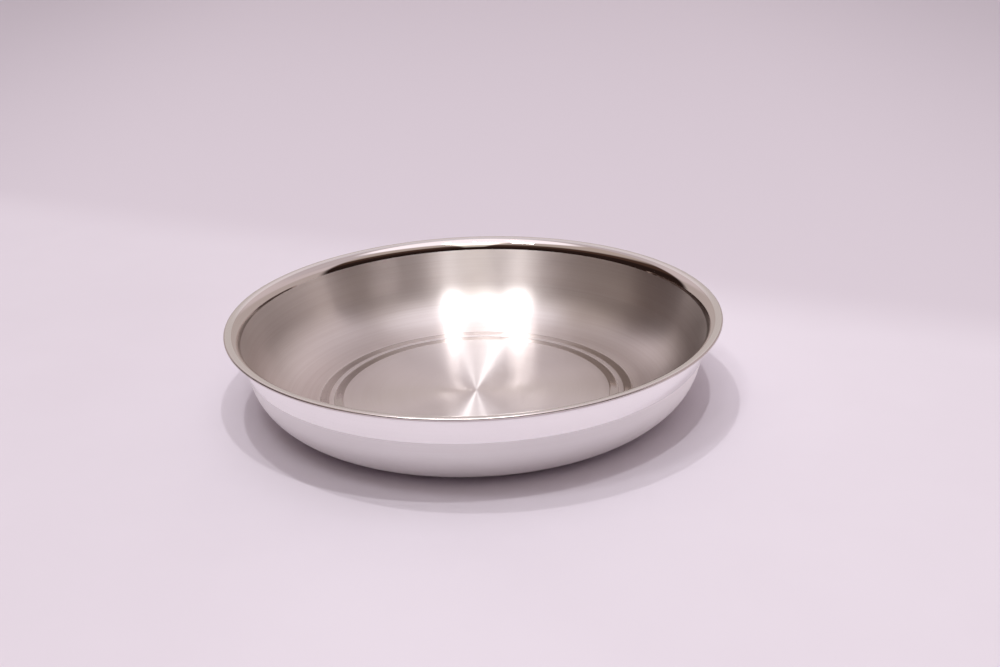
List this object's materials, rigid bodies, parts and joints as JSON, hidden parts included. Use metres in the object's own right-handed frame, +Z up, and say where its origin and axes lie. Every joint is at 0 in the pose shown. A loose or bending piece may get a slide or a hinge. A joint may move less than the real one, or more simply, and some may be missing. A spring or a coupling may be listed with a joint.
{
  "type": "paten dish",
  "caption": "Shallow round metal dish with a flat floor, wide round corner, leaning wall and rolled-out lip, for holding bread or wafers.",
  "frame": {"origin": "centre of the flat underside, on the surface that the dish stands on", "axes": "+Z up along the dish's axis of turning; +X and +Y are any two directions square to it"},
  "size_m": [0.15, 0.15, 0.0267],
  "materials": {
    "steel": "satin, brushed in circles inside, with polished rings on the floor and a polished lip"
  },
  "bodies": {
    "root": {"dish": "steel"}
  },
  "joints": []
}
